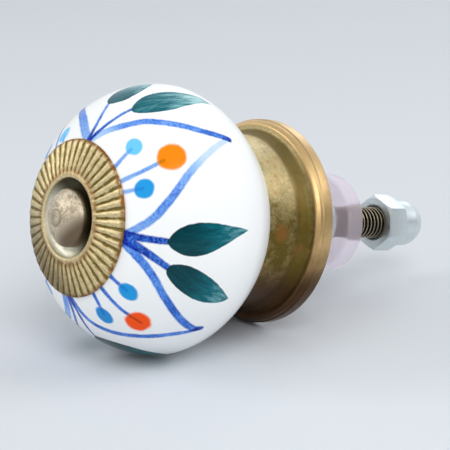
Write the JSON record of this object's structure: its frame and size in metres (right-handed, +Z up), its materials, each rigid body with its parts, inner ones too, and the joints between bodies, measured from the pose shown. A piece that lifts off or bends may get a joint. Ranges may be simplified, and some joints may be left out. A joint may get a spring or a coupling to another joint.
{
  "type": "cabinet knob",
  "caption": "Painted ceramic ball knob with a fluted brass rosette, a cup-shaped brass backplate, a through bolt, washers and a domed cap nut.",
  "frame": {"origin": "centre of the backplate's rear seat, in the plane that meets the furniture", "axes": "+Y along the knob's axis, from the painted front towards the bolt's nut; +Z up as the knob is fixed to an upright drawer front"},
  "size_m": [0.04, 0.0742, 0.04],
  "materials": {
    "aged_brass_bolt": "dull aged brass, finely scratched",
    "pressed_brass": "pressed sheet, satin crests and dark patina in the flutes",
    "glazed_ceramic": "clear gloss glaze over brush-painted leaves, petals and dots",
    "antique_brass": "turned, antiqued brown and olive, bright on the bead",
    "zinc_plated_steel": "bright zinc plating",
    "clear_soft_plastic": "clear soft plastic with a faint pink tint"
  },
  "bodies": {
    "root": {"bolt": "aged_brass_bolt", "front_cap": "pressed_brass", "ceramic_body": "glazed_ceramic", "backplate": "antique_brass", "flat_washer": "zinc_plated_steel", "clear_washer": "clear_soft_plastic", "cap_nut": "zinc_plated_steel"}
  },
  "joints": []
}
